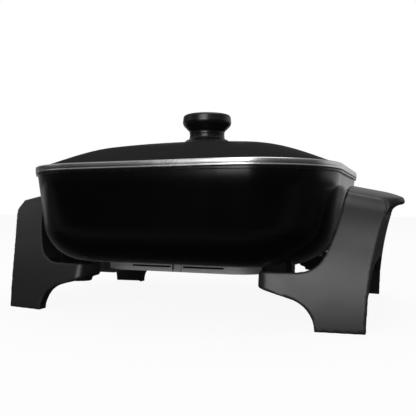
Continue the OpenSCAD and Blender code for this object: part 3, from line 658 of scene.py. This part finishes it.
def buildBand(values):
    rings = []
    for radius, height in bandProfile(values):
        loop = squareLoop(values["cornerCentre"], radius, values["cornerSteps"], values["sideSteps"])
        rings.append([(x * mm, y * mm, height * mm) for x, y in loop])
    points = [point for ring in rings for point in ring]
    mesh = newMesh("bandLoop", points, gridFaces(len(rings), len(rings[0]), True))
    newPiece("lidRimBand", mesh, "lid", bandSteel, ["lid_band"], values["sharpTurn"])


buildBand(band)
print("rim band ready")


# ---- screws ----

screwSets = {
    "handle_screws": {
        "places": [(x, y) for x in (-101.0, 101.0) for y in (-88.0, 88.0)],
        "seat": 32.1, "headRadius": 4.6, "headHeight": 2.8, "radius": 2.5, "length": 20.3, "pitch": 0.9,
    },
    "ring_screws": {
        "places": [(x, y) for x in (-45.0, 45.0) for y in (-74.7, 74.7)],
        "seat": 47.8, "headRadius": 3.0, "headHeight": 1.4, "radius": 1.5, "length": 4.6, "pitch": 0.6,
    },
    "clip_screws": {
        "places": [(x, y) for x in (-22.0, 22.0) for y in (-31.0, 31.0)],
        "seat": 41.4, "headRadius": 3.0, "headHeight": 1.4, "radius": 1.5, "length": 7.9, "pitch": 0.6,
    },
    "guard_screws": {
        "places": [(-96.5, -18.0), (-96.5, 18.0)],
        "seat": 47.8, "headRadius": 3.0, "headHeight": 1.4, "radius": 1.5, "length": 4.6, "pitch": 0.6,
    },
}
screwForm = {
    "turnSteps": 48, "threadDepth": 0.18, "tipShare": 0.7, "faceRings": 14, "sharpTurn": 30,
    "crossWidth": 0.22, "crossReach": 0.62, "crossFade": 0.12, "crossDepth": 0.55,
    "faceShare": 0.86, "bevel": (0.95, 0.93), "shoulder": 0.7,
}


def crossDepth(x, y, values, form):
    # depth of the driver's cross at a point of the head's face
    radius = values["headRadius"]
    half = form["crossWidth"] * radius
    arm = min(abs(x), abs(y))
    reach = max(abs(x), abs(y))
    side = 1 - min(max((arm - 0.5 * half) / (0.5 * half), 0), 1)
    end = 1 - min(max((reach / radius - form["crossReach"]) / form["crossFade"], 0), 1)
    return form["crossDepth"] * values["headHeight"] * side * end


def screwRings(values, form):
    # each ring is its radius, its height over the seat, and whether the cross sinks it
    head, height, radius = values["headRadius"], values["headHeight"], values["radius"]
    face = form["faceShare"] * head
    wide, low = form["bevel"]
    rings = [(i / form["faceRings"] * face, -height, True) for i in range(1, form["faceRings"])]
    rings += [(face, -height, False), (wide * head, -low * height, False)]
    rings += [(head, -form["shoulder"] * height, False), (head, 0, False), (radius, 0, False)]
    count = int(values["length"] / values["pitch"])
    for i in range(count):
        z = values["pitch"] * (i + 0.5)
        rings.append((radius - form["threadDepth"] * (i % 2 == 0), z, False))
    rings.append((form["tipShare"] * radius, values["length"], False))
    return rings


def buildScrews(nodeName, values, form):
    points, faces = [], []
    for px, py in values["places"]:
        first = len(points)
        rings = screwRings(values, form)
        steps = form["turnSteps"]
        for radius, z, hasCross in rings:
            for i in range(steps):
                turn = 2 * math.pi * i / steps
                x, y = radius * math.cos(turn), radius * math.sin(turn)
                sunk = crossDepth(x, y, values, form) if hasCross else 0
                points.append(((px + x) * mm, (py + y) * mm, (values["seat"] + z + sunk) * mm))
        faces += [tuple(first + i for i in face) for face in gridFaces(len(rings), steps, False)]
        for ring in (0, len(rings) - 1):
            faces.append(tuple(first + ring * steps + i for i in range(steps)))
    mesh = newMesh(nodeName + "Form", points, faces)
    name = nodeName.replace("_screws", "CrossScrews")
    newPiece(name, mesh, "base", smallSteel, [nodeName], form["sharpTurn"])


for nodeName, values in screwSets.items():
    buildScrews(nodeName, values, screwForm)
print("screws ready")


# ---- floor, light and camera ----

studio = {
    "floorSize": 12.0, "floorLevel": -0.0002, "floorShade": 0.08, "floorColour": 0.8, "worldFill": 0.5,
    # painted reflection: how bright gloss sees the floor, which glows for glossy rays: everywhere, in a
    # strip in front, at both sides, and behind
    "floorGloss": 0.006, "nearFloorGloss": 0.06, "sideFloorGloss": 0.03, "backFloorGloss": 0.3,
    "nearFrom": (-0.38, -0.28), "nearTo": (-0.16, -0.24), "sideFrom": (-0.35, -0.1),
    "sideReach": (0.25, 0.5), "backFrom": (0.1, 0.5), "backAcross": (0.3, 0.0),
    # how bright gloss sees the room: in front, at its sides, a low wall behind, and overhead
    "frontGloss": 0.04, "sideGloss": 0.05, "backGloss": 0.5, "highGloss": 0.3,
    "sideTurn": (0.6, 0.9), "wallUp": (0.5, 0.25), "wallAlong": (0.2, 0.65),
    "wallAcross": (-0.5, -0.15), "wallLeft": 0.3, "highUp": (0.12, 0.7),
    "lamps": [
        # name, place, aim, size, power
        ("topLamp", (0.1, 0.1, 1.6), (0.0, 0.0, 0.1), (1.2, 1.2), 9.0),
        ("frontLamp", (0.05, -1.55, 0.62), (0.05, -0.15, 0.4), (1.05, 1.0), 9.0),
        ("keyLamp", (0.22, -1.51, 0.62), (0.15, -0.11, 0.05), (0.5, 0.45), 2.6),
        ("leftLamp", (-1.5, -0.5, 0.7), (-0.1, 0.0, 0.1), (0.6, 0.6), 0.35),
        ("backLamp", (-0.65, 1.55, 0.55), (0.0, 0.1, 0.1), (0.45, 0.45), 2.0),
    ],
}
view = {"place": (0.2063, -0.5450, 0.1008), "turn": (90.0, 0.0, 20.64), "lens": 45.83, "sensor": 36.0}


def aimed(place, target):
    # the turn that makes a lamp look from its place to its target
    direction = Vector(target) - Vector(place)
    return direction.to_track_quat("-Z", "Y").to_euler()


def floorMirror(tree, values):
    # painted reflection: how bright the floor glows in glossy parts, from place to place
    across, along = axes(tree)[:2]
    reach = mathNode(tree, "ABSOLUTE", across)
    near = product(
        tree, rangeNode(tree, along, *values["nearFrom"]),
        rangeNode(tree, along, *values["nearTo"]), values["nearFloorGloss"],
    )
    side = product(
        tree, rangeNode(tree, along, *values["sideFrom"]),
        rangeNode(tree, reach, *values["sideReach"], 0.0, values["sideFloorGloss"]),
    )
    back = product(
        tree, rangeNode(tree, along, *values["backFrom"]),
        rangeNode(tree, across, *values["backAcross"]), values["backFloorGloss"],
    )
    bright = mathNode(tree, "ADD", near, values["floorGloss"])
    return mathNode(tree, "ADD", mathNode(tree, "ADD", bright, side), back)


def buildFloor(values):
    half = values["floorSize"] / 2
    level = values["floorLevel"]
    corners = [(-half, -half, level), (half, -half, level), (half, half, level), (-half, half, level)]
    floor = bpy.data.objects.new("studioFloor", newMesh("studioFloor", corners, [(0, 1, 2, 3)]))
    scene.collection.objects.link(floor)
    material = bpy.data.materials.new("paleFloor")
    material.use_nodes = True
    tree = material.node_tree
    tree.nodes.clear()
    output = tree.nodes.new("ShaderNodeOutputMaterial")
    floorColour = (*grey(values["floorColour"]), 1)
    lit = addNode(tree, "ShaderNodeBsdfDiffuse", {"Color": floorColour}).outputs[0]
    white = addNode(tree, "ShaderNodeEmission", {"Color": (1, 1, 1, 1), "Strength": 1.0}).outputs[0]
    # painted reflection: for glossy rays the floor is an emission, not a lit surface
    mirrored = addNode(tree, "ShaderNodeEmission", {"Color": (1, 1, 1, 1)})
    tree.links.new(floorMirror(tree, values), mirrored.inputs["Strength"])
    rays = addNode(tree, "ShaderNodeLightPath").outputs
    clean = product(tree, rays["Is Camera Ray"], 1 - values["floorShade"])
    forCamera = mixShaders(tree, clean, lit, white)
    forGloss = mixShaders(tree, glossRay(tree, rays), forCamera, mirrored.outputs[0])
    tree.links.new(forGloss, output.inputs["Surface"])
    floor.data.materials.append(material)


def roomMirror(tree, values):
    # how bright the room looks in glossy parts, from direction to direction
    across, along, up = axes(tree, "Generated")
    back = product(
        tree, rangeNode(tree, up, *values["wallUp"]),
        rangeNode(tree, along, *values["wallAlong"], 0.0, values["backGloss"]),
        rangeNode(tree, across, *values["wallAcross"], values["wallLeft"], 1.0),
    )
    high = rangeNode(tree, up, *values["highUp"], 0.0, values["highGloss"])
    reach = mathNode(tree, "ABSOLUTE", across)
    side = rangeNode(tree, reach, *values["sideTurn"], values["frontGloss"], values["sideGloss"])
    return mathNode(tree, "ADD", mathNode(tree, "ADD", back, high), side)


def buildWorld(values):
    # a white room for the camera, a grey one for the fill, and a dim studio for the gloss
    world = bpy.data.worlds.new("studioWorld")
    scene.world = world
    world.use_nodes = True
    tree = world.node_tree
    tree.nodes.clear()
    output = tree.nodes.new("ShaderNodeOutputWorld")
    fill = addNode(tree, "ShaderNodeBackground", {"Color": (1, 1, 1, 1), "Strength": values["worldFill"]})
    gloss = addNode(tree, "ShaderNodeBackground", {"Color": (1, 1, 1, 1)})
    white = addNode(tree, "ShaderNodeBackground", {"Color": (1, 1, 1, 1), "Strength": 1.0})
    tree.links.new(roomMirror(tree, values), gloss.inputs["Strength"])
    rays = addNode(tree, "ShaderNodeLightPath").outputs
    forGloss = mixShaders(tree, glossRay(tree, rays), fill.outputs[0], gloss.outputs[0])
    forCamera = mixShaders(tree, rays["Is Camera Ray"], forGloss, white.outputs[0])
    tree.links.new(forCamera, output.inputs["Surface"])


def buildLamps(values):
    for name, place, target, size, power in values["lamps"]:
        light = bpy.data.lights.new(name, "AREA")
        light.shape = "RECTANGLE"
        light.size, light.size_y = size
        light.energy = power
        lamp = bpy.data.objects.new(name, light)
        lamp.location = place
        lamp.rotation_euler = aimed(place, target)
        lamp.visible_camera = False
        scene.collection.objects.link(lamp)


def buildCamera(values):
    camera = bpy.data.objects.new("viewCamera", bpy.data.cameras.new("viewCamera"))
    camera.data.lens = values["lens"]
    camera.data.sensor_width = values["sensor"]
    camera.location = values["place"]
    camera.rotation_euler = [math.radians(turn) for turn in values["turn"]]
    scene.collection.objects.link(camera)
    scene.camera = camera


buildFloor(studio)
buildWorld(studio)
buildLamps(studio)
buildCamera(view)
scene.view_settings.view_transform = "Standard"
print("studio ready")
